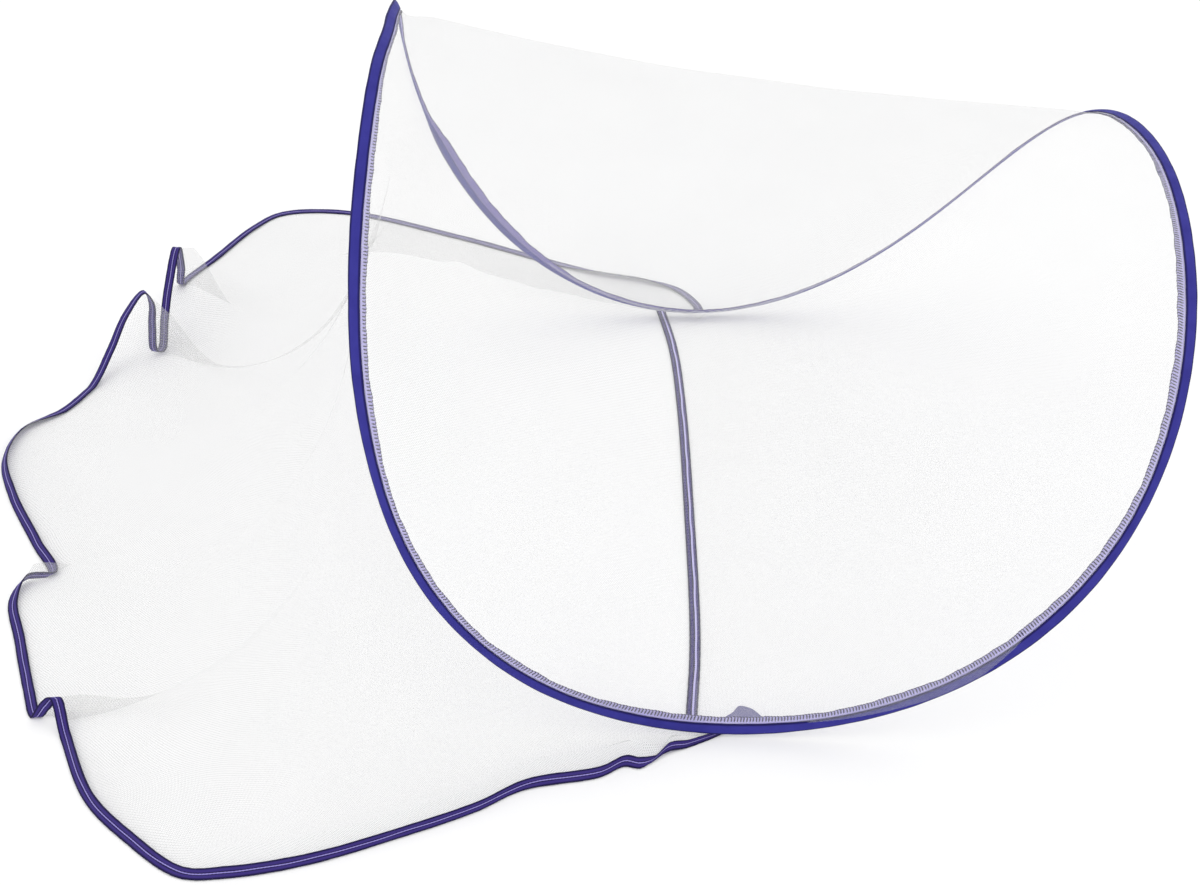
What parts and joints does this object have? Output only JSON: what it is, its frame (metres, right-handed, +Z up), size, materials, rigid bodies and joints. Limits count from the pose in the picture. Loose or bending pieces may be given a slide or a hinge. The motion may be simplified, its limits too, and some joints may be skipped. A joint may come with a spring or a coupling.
{
  "type": "pop-up mosquito net with its sprung hoop",
  "caption": "Free-standing pop-up mosquito net: a sprung hoop in a cloth casing, bent to a saddle, holds up a netting roof, a wide skirt net with a bound hem and an end net.",
  "frame": {"origin": "on the floor, under the middle of the object's box", "axes": "+Z up from the floor; +X from the skirt's far hem towards the lower ear of the hoop; +Y away from the picture's viewer, along the straight hem"},
  "size_m": [1.067, 1.0598, 0.486],
  "materials": {
    "casing": "royal blue woven polyester tape, matt with a faint sheen",
    "seam": "pale lavender overlocked seam allowance of netting and thread",
    "netting": "fine white polyester mosquito netting, sheer",
    "hem_tape": "navy binding tape with darker edges and a pale stitch line along its middle"
  },
  "bodies": {
    "root": {"hoop_casing": "casing", "hoop_seam": "seam", "roof_net": "netting", "end_net": "netting", "end_hem_tape": "hem_tape", "skirt_net": "netting", "skirt_hem_tape": "hem_tape"}
  },
  "joints": []
}
